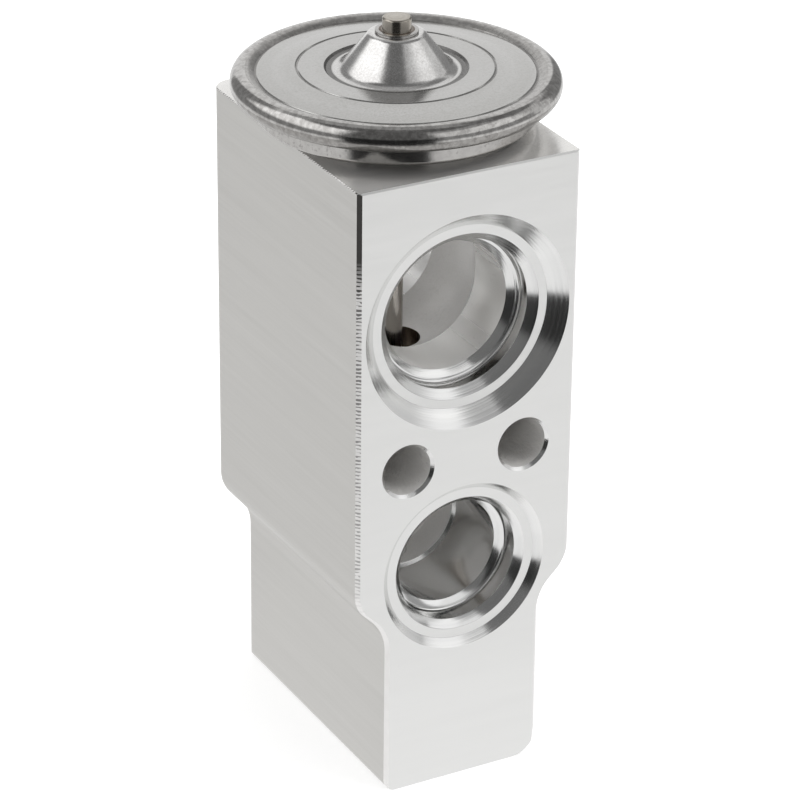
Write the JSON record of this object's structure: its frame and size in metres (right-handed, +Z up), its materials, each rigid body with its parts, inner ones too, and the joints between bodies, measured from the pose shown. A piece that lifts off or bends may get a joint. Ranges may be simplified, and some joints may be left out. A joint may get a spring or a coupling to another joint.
{
  "type": "thermostatic expansion valve",
  "caption": "Block-type thermostatic expansion valve with stepped suction and liquid ports, through bolt holes and a crimped power head.",
  "frame": {"origin": "middle of the base of the valve's outer box, on the plane of its foot", "axes": "+Z up from the foot to the power head, -Y towards the front face with the suction inlet and the outlet, X across the block"},
  "size_m": [0.038, 0.0384, 0.09],
  "materials": {
    "block_aluminium": "extruded and machined, bare satin, with turned port faces",
    "case_steel": "pressed stainless steel, satin, rolled rim glossier",
    "plug_steel": "turned stainless steel, slightly warm",
    "spring_steel": "thin hard stainless steel, smooth",
    "inner_steel": "turned stainless steel",
    "rod_steel": "ground stainless steel",
    "ball_steel": "polished bearing steel",
    "screw_steel": "turned steel with a hex socket",
    "seal_rubber": "moulded rubber, matte black"
  },
  "bodies": {
    "block": {"valve_body": "block_aluminium", "lower_case": "case_steel", "upper_case": "case_steel", "diaphragm": "spring_steel", "charge_plug": "plug_steel", "head_seal": "seal_rubber", "rod_seal": "seal_rubber", "rod_seal_retainer": "spring_steel", "valve_seat": "inner_steel", "valve_spring": "spring_steel"},
    "valve_train": {"diaphragm_plate": "inner_steel", "push_rod": "rod_steel", "valve_ball": "ball_steel", "ball_carrier": "inner_steel", "damping_clip": "spring_steel"},
    "adjuster_slider": {"adjuster_seal": "seal_rubber"},
    "adjuster": {"adjusting_screw": "screw_steel"}
  },
  "joints": [
    {"name": "valve_stroke", "type": "slide", "parent": "block", "child": "valve_train", "axis": [0, 0, -1], "range_m": [0, 0.0007], "stiffness_N_per_m": 12000, "springref_m": -0.004, "deforming": ["valve_spring"]},
    {"name": "adjuster_travel", "type": "slide", "parent": "block", "child": "adjuster_slider", "axis": [0, 0, 1], "range_m": [-0.0004, 0.0004]},
    {"name": "adjuster_turn", "type": "hinge", "parent": "adjuster_slider", "child": "adjuster", "pos_m": [0, -0.00028, 0.003], "axis": [0, 0, 1], "range_deg": [-180, 180]}
  ],
  "couplings": [
    {"joint": "adjuster_turn", "follows": "adjuster_travel", "rad_per_m": 7854}
  ]
}
